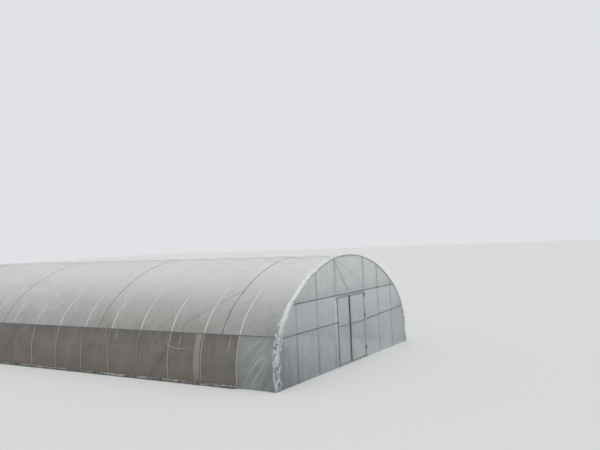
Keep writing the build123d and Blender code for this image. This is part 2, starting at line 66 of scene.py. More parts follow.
# %% A socket that does arithmetic
class Shade:
    """A socket in a material's node tree. Arithmetic on it adds the nodes that work it out."""

    def __init__(self, tree, socket=None):
        self.tree = tree
        self.socket = socket

    def node(self, kind, settings=None, sockets=None, output=0):
        """Add a node with its settings and its sockets' values or links, and return an output."""
        node = self.tree.nodes.new("ShaderNode" + kind)
        for name, value in (settings or {}).items():
            setattr(node, name, value)
        for name, value in (sockets or {}).items():
            if isinstance(value, Shade):
                self.tree.links.new(value.socket, node.inputs[name])
            else:
                node.inputs[name].default_value = value
        return Shade(self.tree, node.outputs[output] if node.outputs else None)

    def maths(self, operation, first, second):
        """Add a Math node over two sockets or plain numbers."""
        return self.node("Math", {"operation": operation}, {0: first, 1: second})

    def __add__(self, other):
        return self.maths("ADD", self, other)

    __radd__ = __add__

    def __sub__(self, other):
        return self.maths("SUBTRACT", self, other)

    def __rsub__(self, other):
        return self.maths("SUBTRACT", other, self)

    def __mul__(self, other):
        return self.maths("MULTIPLY", self, other)

    __rmul__ = __mul__


# %% Words for the masks that every finish uses
def step(value, low, high):
    """0 up to low, 1 from high on and smooth between. It falls where low is above high."""
    sockets = {"Value": value, "From Min": low, "From Max": high}
    return value.node("MapRange", {"interpolation_type": "SMOOTHSTEP"}, sockets)


def stripes(value, pitch, width):
    """Lines of this width at every whole pitch, 1 on the line and 0 between."""
    apart = value.maths("PINGPONG", value, pitch / 2)
    return step(apart, width / 2, 0.0)


def mix(share, first, second):
    """The first colour where share is 0, the second where it is 1."""
    sockets = {0: share, 6: first, 7: second}
    return share.node("Mix", {"data_type": "RGBA"}, sockets, output=2)


def cloud(place, size, stretch=(1, 1, 1), detail=3.0):
    """Soft noise about 0.5, in patches of this size in metres, drawn out by stretch."""
    scaled = place.node(
        "Mapping", {"vector_type": "TEXTURE"}, {"Vector": place, "Scale": stretch}
    )
    return place.node("TexNoise", {}, {"Vector": scaled, "Scale": 1 / size, "Detail": detail})


def rgb(red, green, blue):
    """A colour as a screen shows it, from 0 to 255, turned into the linear values of a shader."""
    parts = [c / 255 for c in (red, green, blue)]
    return [c / 12.92 if c <= 0.04045 else ((c + 0.055) / 1.055) ** 2.4 for c in parts] + [1.0]


print("mid grey is", [round(c, 3) for c in rgb(128, 128, 128)])

# %% [markdown]
# ## From a node tree to a finish
# All finishes share one shape: a Principled shader whose colour, roughness and height come from
# where a point is on the object. Film also lets light through, in two ways. Its alpha shows what
# stands behind it, and a Translucent shader spreads the light from the far side over the sheet.

# %% Start and close a material
def begin(name):
    """A new material with an empty tree, and the place on the object in metres."""
    made = bpy.data.materials.new(name)
    made.use_nodes = True
    made.node_tree.nodes.clear()
    start = Shade(made.node_tree)
    place = start.node("TexCoord", output=3)
    return made, place


def split(place):
    """The X, Y and Z of a place."""
    cut = place.node("SeparateXYZ", {}, {0: place})
    outputs = cut.socket.node.outputs
    return [Shade(place.tree, output) for output in outputs]


def close(
    made, place, color, roughness, metallic=0.0, alpha=1.0, height=None, rise=0.001, glow=None
):
    """Give the material its Principled shader, and for film the Translucent one named by glow."""
    sockets = {"Base Color": color, "Roughness": roughness, "Metallic": metallic, "Alpha": alpha}
    if height is not None:
        sockets["Normal"] = place.node("Bump", {}, {"Height": height, "Distance": rise})
    shader = place.node("BsdfPrincipled", {}, sockets)
    if glow is not None:
        share, tint = glow
        through = place.node("BsdfTranslucent", {}, {"Color": tint})
        shader = place.node("MixShader", {}, {0: share, 1: shader, 2: through})
    place.node("OutputMaterial", {}, {"Surface": shader})
    print("finish:", made.name)
    return made


# %% [markdown]
# ## The steel
# The hoops, posts and braces are galvanised pipe. New zinc shines in flakes and then dulls to a
# flat grey with darker runs, so the finish is a metal whose roughness wanders, with a fine
# spangle. Behind the gable film the posts and lintel pipes get a darker copy of it, and the brace
# near-black paint, as painted shade. The door posts are zinc-coated square tube. The leaves, their
# head and the hinges are dark, dusty near the ground and worn to rust at random spots. The clamp
# channels are thin rolled steel that holds dust in its groove; the straight ones are a darker grey
# for that dust and for painted shade in the groove, and they are paler where they are bent along
# the gable arches.

# %% Galvanised pipe
def galvanised(name, bright, grey, aged):
    """Zinc with a fine spangle, dulled to aged in patches and soiled at its foot."""
    made, place = begin(name)
    spangle = place.node("TexVoronoi", {}, {"Vector": place, "Scale": 180.0}, output=1)
    flake = place.node("RGBToBW", {}, {0: spangle})
    dull = step(cloud(place, 0.35), 0.4, 0.65)
    soil = step(split(place)[2], 0.25, 0.0) * step(cloud(place, 0.05), 0.3, 0.6)
    weathered = mix(dull * 0.7, mix(flake, grey, bright), aged)
    color = mix(soil * 0.6, weathered, rgb(122, 108, 92))
    rough = 0.38 + dull * 0.2 + flake * 0.08
    return close(made, place, color, rough, metallic=0.5 - soil * 0.4, height=flake, rise=0.0002)


PIPE = galvanised("galvanised_pipe", rgb(210, 214, 216), rgb(188, 193, 195), rgb(174, 178, 178))
# Gable posts and lintel pipes: a darker copy of the galvanised pipe, as painted shade behind the
# film.
SHADED_POST_PIPE = galvanised("shaded_gable_pipe", rgb(122, 128, 130), rgb(100, 106, 108), rgb(88, 93, 93))
DOOR_POST = galvanised("door_post_zinc", rgb(206, 211, 213), rgb(188, 194, 196), rgb(172, 177, 178))

# %% Door steel, hinges and clamp channels
def worn_steel(name, paint, worn, rust_share, roughness):
    """Dark paint that has gone chalky, with dust low down and rust where the noise is strongest."""
    made, place = begin(name)
    chalk = step(cloud(place, 0.12, (1, 1, 3)), 0.35, 0.7)
    spots = step(cloud(place, 0.025, detail=5.0), 0.68 - rust_share, 0.74 - rust_share)
    dust = step(split(place)[2], 0.5, 0.0) * step(cloud(place, 0.08), 0.3, 0.65)
    painted = mix(chalk, paint, worn)
    dusty = mix(dust * 0.7, painted, rgb(150, 138, 120))
    color = mix(spots * 0.8, dusty, rgb(104, 66, 42))
    grain = cloud(place, 0.004, detail=4.0)
    rough, metallic = roughness + chalk * 0.15, 0.35 - spots * 0.3
    return close(made, place, color, rough, metallic, 1.0, grain, 0.0003)


DOOR_STEEL = worn_steel("door_steel", rgb(78, 85, 85), rgb(104, 110, 109), 0.0, 0.45)
HINGE_STEEL = worn_steel("hinge_steel", rgb(28, 30, 31), rgb(46, 46, 46), 0.06, 0.5)
# The straight channels: a darker grey, partly dust and partly painted shade in their groove.
CHANNEL_STEEL = worn_steel("clamp_channel", rgb(130, 136, 137), rgb(154, 158, 158), -0.03, 0.42)
RIM_STEEL = worn_steel("arch_channel", rgb(188, 194, 196), rgb(206, 210, 211), -0.03, 0.42)
# The gable brace: near-black paint as painted shade, for the shade it lies in behind the gable film.
SHADED_BRACE_PIPE = worn_steel("shaded_brace_pipe", rgb(18, 19, 20), rgb(28, 29, 30), -0.02, 0.7)

# %% [markdown]
# ## The film
# The covers are milky polyethylene about 0.15 mm thick. The roof looks like pale satin: dusty
# towards the channels and near-white at the ridge, partly washed cleaner and partly a painted
# reflection, with painted highlights in lines where it lies on a hoop and a painted shadow in one
# line over each wind brace. The gables are newer and clearer, so the posts behind them show as
# soft grey lines; folds get painted highlights on their crests, and painted shade lies towards the
# left of the gables, deepest at the lower left corner. One function makes all of these from a
# clean and a dusty colour and from how much shows through.

# %% Lines over the hoops and the wind braces
HOOP_PITCH = 1.2


def over_hoops(y, width):
    """1 on lines of this width where a cover lies on a hoop. The hoops stand half a pitch off 0."""
    return stripes(y + HOOP_PITCH / 2, HOOP_PITCH, width)


BRACE_SLOPE, BRACE_DROP = 0.589, 1.859


def over_braces(y, z):
    """1 on a thin line over a wind brace, which climbs to each gable from 5.5 m off the middle."""
    inward = y.maths("ABSOLUTE", y, 0.0)
    off_line = z + BRACE_DROP - inward * BRACE_SLOPE
    on_line = step(off_line.maths("ABSOLUTE", off_line, 0.0), 0.026, 0.006)
    return on_line * step(inward, 5.5, 5.9) * step(inward, 7.3, 7.22)


# %% Milky film
def fold_shading(place):
    """The fold mask that a sheet's mesh carries at each corner, which sets painted highlights and
    shade on folds.
    """
    return place.node("Attribute", {"attribute_name": "fold"}, output=2)


def film(name, clean, dusty, dust_top, dust_foot, clearness, share, painted_pipe_lines=0.0, left_shade=0.0):
    """Milky film, clean above dust_top and dusty at dust_foot. clearness is how see-through it is.

    share of it spreads light. Lines over the hoops are painted highlights, the line over a wind brace
    a painted shadow. The last argument thins the dust on the right and paints shade at the lower
    left.
    """
    made, place = begin(name)
    x, y, z = split(place)
    low_down = step(z, dust_top, dust_foot)
    streaks = step(cloud(place, 0.16, (1, 1, 5)), 0.3, 0.75)
    blotches = step(cloud(place, 0.9), 0.35, 0.7)
    # Painted shade: the dust thins towards the right, so the film is darker to the left.
    dust = low_down * (0.74 + streaks * 0.12 + blotches * 0.14) * (1 - left_shade * step(x, -3.6, 3.2))
    # Painted highlights in lines where the film lies on a hoop.
    hoop_highlight = over_hoops(y, 0.07) * step(z, 3.15, 2.3) * painted_pipe_lines
    # Painted shade in the lower left corner.
    corner_shade = step(x, -2.7, -3.7) * step(z, 1.5, 0.9) * left_shade
    soiled = mix(corner_shade * 0.8, mix(dust, clean, dusty), rgb(108, 116, 128))
    veiled = mix(streaks * 0.07, soiled, rgb(160, 164, 166))
    crests = fold_shading(place)
    # Painted highlights on the crests of folds.
    crest_highlit = mix(crests * 0.5, veiled, rgb(232, 236, 238))
    # Painted shadow in a line over each wind brace.
    brace_shaded = mix(over_braces(y, z) * painted_pipe_lines * 0.5, crest_highlit, rgb(112, 116, 114))
    color = mix(hoop_highlight, brace_shaded, rgb(247, 247, 242))
    wrinkle = cloud(place, 0.05, (1, 1, 4), detail=4.0) * 0.5 + cloud(place, 0.3, (1, 1, 3)) * 0.5
    solid = 1 - clearness * (1 - hoop_highlight * 0.9) * (1 - dust * 0.55)
    rough = 0.3 + dust * 0.25 + streaks * 0.06
    return close(made, place, color, rough, 0.0, solid, wrinkle, 0.0025, (share, color))


# %% The films of the tunnel
# The roof runs from dust near the channels to near-white at the ridge, partly washed cleaner and
# partly a painted reflection.
ROOF_FILM = film(
    "roof_film", rgb(255, 255, 252), rgb(153, 155, 149), 3.15, 1.15, 0.3, 0.4, painted_pipe_lines=0.95
)
# Gable film: darker towards the left and at the lower left corner, as painted shade.
GABLE_FILM = film(
    "gable_film", rgb(223, 230, 234), rgb(128, 134, 145), 2.0, 0.1, 0.42, 0.38, left_shade=0.75
)
CLEAR_FILM = film("upper_gable_film", rgb(209, 216, 218), rgb(176, 181, 190), 2.0, 0.1, 0.38, 0.34)
DOUBLE_FILM = film("doubled_film", rgb(224, 230, 233), rgb(178, 184, 189), 1.9, 0.1, 0.2, 0.34)
SIDE_FILM = film("side_film", rgb(143, 147, 149), rgb(125, 128, 130), 1.3, 0.2, 0.3, 0.34)

# %% Crumpled film
def crumpled_film(name):
    """Film in folds, white on the ridges of the mesh's fold mask and in painted shade between them;
    low down it is looser, clearer and in deeper painted shade.
    """
    made, place = begin(name)
    ridge = fold_shading(place)
    patches = step(cloud(place, 0.05, (1, 1, 2.4), detail=4.0), 0.35, 0.65)
    z = split(place)[2]
    loose = step(z, 1.9, 1.3)
    # Painted shade in the valleys between folds, deeper low down.
    shaded = 1 - step(ridge + patches * 0.3 - loose * 0.22, 0.0, 0.6)
    # Greyer and bluer lower down, white above.
    aged = step(z, 2.5, 1.2) * (0.45 + patches * 0.35)
    soiled = step(z, 0.3, 0.0) * step(cloud(place, 0.1), 0.3, 0.6)
    color = mix(shaded, mix(aged, rgb(252, 253, 253), rgb(204, 214, 217)), rgb(142, 153, 159))
    color = mix(soiled * 0.6, color, rgb(158, 148, 134))
    crinkle = cloud(place, 0.018, (1, 1, 3), detail=5.0)
    solid = 0.97 - shaded * (0.45 + loose * 0.4)
    return close(made, place, color, 0.24 + shaded * 0.2, 0.0, solid, crinkle, 0.003, (0.25, color))


HEM_FILM = crumpled_film("hem_film")

# %% [markdown]
# ## The net and the straps
# Insect net is woven of clear thread that has caught dust, so it reads as a grey brown haze. The
# threads are lines at a real 1 mm pitch in height and along the tunnel, and between them the net is
# open, which the alpha shows. The straps are dark woven bands with a coarse diagonal weave.

# %% Net and strap
def net(name, pale, dark, solid):
    """Insect net between two shades of dust. solid is how much it hides between its threads."""
    made, place = begin(name)
    y, z = split(place)[1:]
    thread = place.maths("MAXIMUM", stripes(y, 0.0012, 0.0007), stripes(z, 0.0012, 0.0007))
    dirt = step(cloud(place, 0.3, (1, 3, 1)), 0.3, 0.75)
    splash = step(z, 0.35, 0.0)
    # Painted highlights in lines over the hoops behind the net.
    hoop_highlight = over_hoops(y, 0.055) * (0.4 + 0.6 * step(cloud(place, 1.1, (1, 1, 4)), 0.4, 0.6))
    # Painted highlights on the crests of the net's folds.
    crests = fold_shading(place)
    color = mix(crests * 0.8, mix(dirt, pale, dark), rgb(150, 146, 139))
    pleats = step(cloud(place, 0.05, (12, 1, 12), detail=2.0), 0.55, 0.7) * step(z, 0.5, 1.25)
    color = mix(pleats * 0.45, color, rgb(168, 166, 160))
    color = mix(splash * 0.6, color, rgb(132, 116, 98))
    color = mix(hoop_highlight * 0.85, color, rgb(214, 211, 200))
    cover = solid + thread * (1 - solid) * 0.8
    return close(made, place, color, 0.75, 0.0, cover, thread, 0.0003, (0.25, color))


def strap():
    """Dark woven band with slanting threads, faded in patches."""
    made, place = begin("hold_down_strap")
    x, y, z = split(place)
    weave = stripes(x + y + z, 0.003, 0.0015)
    faded = step(cloud(place, 0.2), 0.35, 0.7)
    color = mix(faded, rgb(74, 76, 72), rgb(104, 105, 98))
    color = mix(weave * 0.35, color, rgb(46, 48, 46))
    return close(made, place, color, 0.7, 0.0, 1.0, weave, 0.0006)


NET = net("side_net", rgb(104, 96, 89), rgb(86, 78, 71), 0.68)
DOUBLE_NET = net("doubled_net", rgb(170, 166, 158), rgb(157, 152, 144), 0.82)
STRAP = strap()

# %% [markdown]
# ## The arch as a ruler
# Every hoop is a short upright leg, a shoulder arc and one flatter arc over the top. The covers
# follow that line, so the script measures places by their distance along it from the left foot and
# by how far out they stand from the pipe's centre. The span and the ridge come from the frame.

# %% Sizes of the arch
arch_low, arch_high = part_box("front_arch")
PIPE_R = (arch_high.y - arch_low.y) / 2
FACE = -arch_low.y
HALF_SPAN = arch_high.x - PIPE_R
RIDGE = arch_high.z - PIPE_R
LEG = 0.4
SHOULDER_R = 2.1
SHOULDER_X = HALF_SPAN - SHOULDER_R
ARCH_RISE = RIDGE - LEG
TOP_R = (SHOULDER_X**2 + ARCH_RISE**2 - SHOULDER_R**2) / (2 * (ARCH_RISE - SHOULDER_R))
TOP_Z = RIDGE - TOP_R
SHOULDER_ANGLE = math.atan2(LEG - TOP_Z, SHOULDER_X)
SHOULDER_END = LEG + SHOULDER_R * SHOULDER_ANGLE
HALF_ARCH = SHOULDER_END + TOP_R * (math.pi / 2 - SHOULDER_ANGLE)
ARCH_Y = FACE - PIPE_R
BAYS = round(2 * ARCH_Y / HOOP_PITCH)
HOOPS = [-ARCH_Y + HOOP_PITCH * n for n in range(BAYS + 1)]
SIDES = ((1, "left"), (-1, "right"))
ENDS = ((-1, "front"), (1, "back"))
print(f"arch {2 * HALF_ARCH:.2f} m along, {len(HOOPS)} hoops, film roof {2 * ARCH_Y:.1f} m long")


# %% Places on the arch
def on_arch(along, out):
    """X and Z at a distance along the arch from its left foot, out from the pipe's centre line."""
    side = np.where(along < HALF_ARCH, -1.0, 1.0)
    near = np.minimum(along, 2 * HALF_ARCH - along)
    bend = np.clip((near - LEG) / SHOULDER_R, 0, SHOULDER_ANGLE)
    crown = SHOULDER_ANGLE + np.maximum(near - SHOULDER_END, 0) / TOP_R
    on_top = near > SHOULDER_END
    reach = SHOULDER_R + out
    x = np.where(on_top, (TOP_R + out) * np.cos(crown), SHOULDER_X + reach * np.cos(bend))
    z = np.where(on_top, TOP_Z + (TOP_R + out) * np.sin(crown), LEG + reach * np.sin(bend))
    return side * x, np.where(near < LEG, near, z)


# %% The gable channels' inner edge
GRIP = 0.0165
EDGE_SHOULDER, EDGE_TOP = SHOULDER_R - GRIP, TOP_R - GRIP


def root(value):
    """Square root, and 0 below 0."""
    return np.sqrt(np.clip(value, 0, None))


def half_width(z):
    """X of the gable channel's inner edge, on the right half, at a height."""
    shoulder_top = LEG + EDGE_SHOULDER * math.sin(SHOULDER_ANGLE)
    low = SHOULDER_X + root(EDGE_SHOULDER**2 - np.clip(z - LEG, 0, None) ** 2)
    return np.where(z < shoulder_top, low, root(EDGE_TOP**2 - (z - TOP_Z) ** 2))


def edge_height(x):
    """Height of the gable channel's inner edge above a place across the tunnel."""
    shoulder = LEG + root(EDGE_SHOULDER**2 - (np.abs(x) - SHOULDER_X) ** 2)
    on_top = np.abs(x) < EDGE_TOP * math.cos(SHOULDER_ANGLE)
    return np.where(on_top, TOP_Z + root(EDGE_TOP**2 - x**2), shoulder)


def along_at(height):
    """Distance along the left half of the arch up to a height on its shoulder."""
    return LEG + SHOULDER_R * np.arcsin((height - LEG) / SHOULDER_R)


# %% [markdown]
# ## Sheets, tubes and random waves
# Two mesh builders are enough for all that follows: a sheet of quads over two lists of values,
# and a tube through rings of corners. Real film is never flat, so a third function gives smooth
# random waves. It reads a seeded table of heights, which keeps each run the same.

# %% Sheets
def add_mesh(name, corners, faces):
    """A smooth-shaded mesh of corners and faces, linked to the scene."""
    mesh = bpy.data.meshes.new(name)
    mesh.from_pydata(np.asarray(corners).reshape(-1, 3).tolist(), [], faces)
    mesh.shade_smooth()
    piece = bpy.data.objects.new(name, mesh)
    link(piece)
    return piece


def sheet(name, across, along, point):
    """A sheet of quads. point turns grids of both values into X, Y, Z and at times a fold mask for
    painted light.
    """
    u, v = np.meshgrid(across, along)
    x, y, z, *fold = point(u, v)
    corners = np.stack([np.broadcast_to(part, u.shape) for part in (x, y, z)], axis=-1)
    rows, columns = u.shape
    first = (np.arange(rows - 1)[:, None] * columns + np.arange(columns - 1)).ravel()
    quads = np.stack([first, first + 1, first + columns + 1, first + columns], axis=1)
    piece = add_mesh(name, corners, quads.tolist())
    if fold:
        fold_shades = piece.data.attributes.new("fold", "FLOAT", "POINT")
        fold_shades.data.foreach_set("value", fold[0].ravel())
    return piece


# %% Tubes and wires
def tube(name, rings):
    """A closed tube through rings, an array of rings by corners by X, Y and Z."""
    count, sides = rings.shape[:2]
    faces = []
    for ring in range(count - 1):
        for side in range(sides):
            after = (side + 1) % sides
            here, above = ring * sides, (ring + 1) * sides
            faces.append((here + side, here + after, above + after, above + side))
    faces.append(tuple(reversed(range(sides))))
    faces.append(tuple(range((count - 1) * sides, count * sides)))
    return add_mesh(name, rings, faces)


def wire_rings(points, radius, sides):
    """Rings of a round wire along points, each ring square to the line there."""
    points = np.asarray(points, float)
    run = np.gradient(points, axis=0)
    run /= np.linalg.norm(run, axis=1)[:, None]
    rings = []
    side = Vector(run[0]).orthogonal().normalized()
    for point, heading in zip(points, run):
        heading = Vector(heading)
        side = (side - heading * side.dot(heading)).normalized()
        other = heading.cross(side)
        turns = [2 * math.pi * n / sides for n in range(sides)]
        rim = [(side * math.cos(t) + other * math.sin(t)) * radius for t in turns]
        rings.append([Vector(point) + corner for corner in rim])
    return np.array(rings)


# %% Random waves and creases
TABLE_U, TABLE_V = 97, 89


def waves(u, v, seed, straight=False):
    """Random heights from -1 to 1 at whole steps of u and v, with smooth or straight slopes."""
    table = np.random.default_rng(seed).uniform(-1, 1, (TABLE_U, TABLE_V))
    i, j = np.floor(u).astype(int), np.floor(v).astype(int)
    a, b = u - i, v - j
    if not straight:
        a, b = a * a * (3 - 2 * a), b * b * (3 - 2 * b)
    left, right, low, high = i % TABLE_U, (i + 1) % TABLE_U, j % TABLE_V, (j + 1) % TABLE_V
    near = table[left, low] * (1 - a) + table[right, low] * a
    far = table[left, high] * (1 - a) + table[right, high] * a
    return near * (1 - b) + far * b


def crease(u, v, seed):
    """Narrow ridges of height 1, with slopes that run down to 0 between them."""
    return (1 - np.clip(np.abs(waves(u, v, seed)) * 1.9, 0, 1)) ** 1.3


# %% The finish of a piece, and a print of its cut
def fit(piece, finish, slot, *replaced, body="tunnel"):
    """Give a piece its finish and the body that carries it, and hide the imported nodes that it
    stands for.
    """
    piece.data.materials.append(finish)
    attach(piece, body)
    if replaced:
        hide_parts(*replaced)


def declare(piece, width, length, held, *rests_on):
    """Print the rectangle that film or net was cut from and the area left after trimming."""
    area = min(sum(face.area for face in piece.data.polygons), width * length)
    print(f"{piece.name}: cut from {width:.2f} by {length:.2f} m, {area:.2f} m2")


# %% [markdown]
# ## The roof film
# One sheet covers the roof from the clamp channel on the left to the one on the right. It rests on
# the hoops, sags a centimetre between them, twice that on top, and is pressed in by four straps.
# Small puckers run up from the channels, where the wire grips the film unevenly. Sag and creases
# are added up as heights over the arch.

# %% Height of the roof film over the hoops
FILM_OUT = PIPE_R + 0.0035
CHANNEL_HEIGHT = 1.32
SIDE_CHANNEL = along_at(CHANNEL_HEIGHT)
ROOF_START = SIDE_CHANNEL + GRIP
ROOF_END = 2 * HALF_ARCH - ROOF_START
STRAPS = [-7.2, -2.4, 2.4, 7.2]
STRAP_HALF = 0.009
STRAP_PRESS = 0.018
SAG, TOP_SAG = 0.010, 0.012


def between_hoops(y):
    """0 over each hoop and past the last, and 1 midway to the next."""
    return np.abs(((y - HOOPS[0]) / HOOP_PITCH + 0.5) % 1 - 0.5) * 2 * (np.abs(y) < ARCH_Y)


def roof_out(along, y):
    """How far the roof film stands out from the pipes' centre line."""
    free = between_hoops(y)
    held = np.minimum(along - ROOF_START, ROOF_END - along)
    loose = 1 - np.exp(-np.clip(held, 0, None) / 0.25)
    strap_gap = np.min([np.abs(y - strap) for strap in STRAPS], axis=0)
    press = STRAP_PRESS * np.exp(-np.clip(strap_gap - STRAP_HALF, 0, None) / 0.16)
    sag = (SAG + TOP_SAG * np.exp(-(((along - HALF_ARCH) / 0.8) ** 2))) * free * (2 - free)
    ripples = 0.0022 * waves(y / 0.33, along / 1.4, 11) * free
    pucker = 0.003 * waves(y / 0.11, along / 0.7, 12) * free * np.exp(-held / 0.22)
    end_gap = np.clip(ARCH_Y - np.abs(y), 0, None)
    drawn = np.clip(end_gap / 0.06, 0, 1) * np.exp(-end_gap / 0.3)
    fan = 0.0035 * waves(along / 0.13, y / 0.9, 13) * drawn
    return FILM_OUT - (sag + press) * loose + ripples + pucker + fan * loose


# %% The roof film's mesh
def roof_stations():
    """Places along the tunnel, close together at hoops and straps where the film creases."""
    bay = [0.0, 0.01, 0.025, 0.05, 0.09, 0.14, 0.2, 0.27, 0.34, 0.41, 0.48, 0.54, 0.6]
    places = [hoop + sign * gap for hoop in HOOPS for gap in bay for sign in (-1, 1)]
    strap = [0.0, STRAP_HALF, 0.016, 0.03, 0.055, 0.09]
    places += [line + sign * gap for line in STRAPS for gap in strap for sign in (-1, 1)]
    return np.array(sorted({round(y, 4) for y in places if abs(y) <= ARCH_Y}))


ROOF_RUN = ROOF_END - ROOF_START
EDGE_ROWS = [0, 0.012, 0.03, 0.055, 0.085]
MIDDLE_START, MIDDLE_ROWS = 0.13, 108
middle = np.linspace(MIDDLE_START, ROOF_RUN - MIDDLE_START, MIDDLE_ROWS)
rows = ROOF_START + np.concatenate([EDGE_ROWS, middle, ROOF_RUN - np.array(EDGE_ROWS[::-1])])
ends = np.array([ARCH_Y + 0.011, FACE + 0.001, FACE + 0.0045])
stations = np.concatenate([-ends[::-1], roof_stations(), ends])


def roof_point(y, along):
    """A place on the roof film, whose last row turns down over the gable arch."""
    over_edge = 0.0023 * (np.abs(y) > FACE + 0.004)
    x, z = on_arch(along, roof_out(along, y) - over_edge)
    return x, y, z


roof_cover = sheet("roof_cover", stations, rows, roof_point)
fit(
    roof_cover, ROOF_FILM, "roof_film",
    "left_eave_film", "left_roof_film", "ridge_film", "right_roof_film", "right_eave_film",
)
declare(roof_cover, ROOF_RUN, 2 * FACE, "stretched", "hoops", "front_arch", "back_arch")

# %% [markdown]
# ## The straps
# Each strap runs over the film from channel to channel and presses it in between two hoops. It is
# a flat band with a real thickness, drawn along the film's own height so that the two never part.

# %% Straps
STRAP_THICK = 0.003
for number, line in enumerate(STRAPS, 1):
    out = roof_out(rows, np.full_like(rows, line)) + 0.0012
    rings = []
    for edge, lift in ((-1, 0), (1, 0), (1, STRAP_THICK), (-1, STRAP_THICK)):
        x, z = on_arch(rows, out + lift)
        rings.append(np.stack([x, np.full_like(x, line + edge * STRAP_HALF), z], axis=-1))
    band = tube(f"strap_{number}", np.stack(rings, axis=1))
    fit(band, STRAP, "strap", "hold_down_straps")
print("made", len(STRAPS), "straps")

# %% [markdown]
# ## The gable film
# Each gable is covered in panels between the clamp channels. A panel hangs taut over the posts,
# bags a little between them and puckers where the wire grips it. Its outer edge comes from the
# arch and the others from the channels and door posts. Its height over the posts is a sum of a
# few long folds and short puckers that fade to nothing on every post.

# %% Height of a gable's film over its posts
POSTS = [-2.95, -1.87, -0.79, 1.01, 1.98, 2.95]
LINTEL = 2.065
LEFT_RAIL = 1.28
RIGHT_RAIL_LOW, RIGHT_RAIL_HIGH = 1.16, 1.28
DOOR_LEFT, DOOR_RIGHT = -0.805, 1.025
FILM_FACE = FACE + 0.002


def right_rail(x):
    """Height of the sloping clamp channel right of the door."""
    slope = RIGHT_RAIL_HIGH - RIGHT_RAIL_LOW
    return RIGHT_RAIL_LOW + slope * (x - DOOR_RIGHT) / (HALF_SPAN + 0.032 - DOOR_RIGHT)


def gable_bulge(x, z, gap_to_edge, slack, seed, posts):
    """How far a panel stands out, 0 on its posts and at gripped edges, and its crests for painted
    highlights.
    """
    post_gap = np.min([np.abs(x - post) for post in posts], axis=0)
    free = 1 - np.exp(-(np.clip(post_gap - 0.014, 0, None) / 0.11) ** 1.5)
    loose = 1 - np.exp(-gap_to_edge / slack)
    hanging = 0.0055 * waves(x / 0.13, z / 1.3, seed)
    pulled = 0.0045 * waves((x + 0.7 * z) / 0.17, (x - 0.7 * z) / 1.1, seed + 1)
    pucker = 0.0035 * waves(x / 0.055, z / 0.5, seed + 2) * np.exp(-gap_to_edge / 0.16)
    drawn = 0.004 * crease((x + 0.9 * z) / 0.3, (x - 0.9 * z) / 1.6, seed + 3)
    folds = hanging + pulled + drawn
    bulge = (folds - 0.008 * free) * free * loose + pucker * free * (gap_to_edge > 0.001)
    return bulge, np.clip(folds / 0.012, 0, 1) * free * loose * 0.5


# %% Panels of a gable
PANEL_STEP, PANEL_ROWS, PANEL_REACH = 0.03, 30, 3.6
FRONT_CUT, BACK_CUT = (3.25, 1.28), (8.0, 1.28)


def gable_panel(
    name, side, left, right, low, high, seed, posts=POSTS, held=0.0, slack=0.07, face=FILM_FACE
):
    """Film over part of a gable. left and right are X, or None for the arch.

    low and high give its lower and upper edge at any X. held is how far a rail covers its edges.
    """
    columns = max(12, round(((right or PANEL_REACH) - (left or -PANEL_REACH)) / PANEL_STEP))

    def point(u, v):
        start = np.full_like(v, left or 0.0)
        end = np.full_like(v, right or 0.0)
        for _ in range(6):
            if left is None:
                start = -half_width(low(start) * (1 - v) + high(start) * v)
            if right is None:
                end = half_width(low(end) * (1 - v) + high(end) * v)
        x = start + (end - start) * u
        z = low(x) * (1 - v) + high(x) * v
        gap = np.minimum(np.minimum(x - start, end - x), np.minimum(z - low(x), high(x) - z))
        gap = np.clip(gap - held, 0, None)
        bulge, crests = gable_bulge(x, z, gap, slack, seed, posts)
        return x, side * (face + bulge), z, crests

    return sheet(name, np.linspace(0, 1, columns), np.linspace(0, 1, PANEL_ROWS), point)


def level(height):
    """The same height at every X, as a panel's edge."""
    return lambda x: np.full_like(x, height)


# %% Above the lintel channels, front and back
LINTEL_TOP = LINTEL + GRIP
LINTEL_FOOT = LINTEL - GRIP
END_ROOM = 0.02
crown_end = float(half_width(LINTEL_TOP + END_ROOM))
for side, where in ENDS:
    crown = gable_panel(
        f"{where}_upper_sheet", side, -crown_end, crown_end,
        level(LINTEL_TOP), edge_height, 20 - side,
    )
    fit(crown, CLEAR_FILM, "gable_film", f"{where}_upper_film")
    declare(crown, 2 * crown_end, RIDGE - LINTEL_TOP, "stretched", f"{where}_arch")

# %% Beside the doors
above_rail, below_rail = lambda x: right_rail(x) + GRIP, lambda x: right_rail(x) - GRIP
panels = (
    ("front_left_middle_sheet", None, DOOR_LEFT, level(LEFT_RAIL + GRIP), level(LINTEL_FOOT), 31),
    ("front_left_low_sheet", None, DOOR_LEFT, level(0.0), level(LEFT_RAIL - GRIP), 34),
    ("front_right_middle_sheet", DOOR_RIGHT, None, above_rail, level(LINTEL_FOOT), 37),
    ("front_right_low_sheet", DOOR_RIGHT, None, level(0.0), below_rail, 40),
)
for name, left, right, low, high, seed in panels:
    panel = gable_panel(name, -1, left, right, low, high, seed)
    node = "front_left_films" if "left" in name else "front_right_films"
    fit(panel, GABLE_FILM, "gable_film", node)
    declare(panel, *FRONT_CUT, "stretched", "front_posts", "door_posts")

# %% The closed back gable
for name, low, high, seed in (
    ("back_middle_sheet", LEFT_RAIL + GRIP, LINTEL_FOOT, 43),
    ("back_low_sheet", 0.0, LEFT_RAIL - GRIP, 46),
):
    panel = gable_panel(name, 1, None, None, level(low), level(high), seed)
    fit(panel, GABLE_FILM, "gable_film", "back_lower_films")
    declare(panel, *BACK_CUT, "stretched", "back_posts")

# %% [markdown]
# ## The film on the door leaves
# Each leaf carries two panes of film, slack between the rails and gripped under a steel batten over
# the middle rail. Panes and battens ride on the leaf, so they swing with the door. Left of the
# doorway the gable's film laps over the door post, and a narrow flap hangs over the door head.

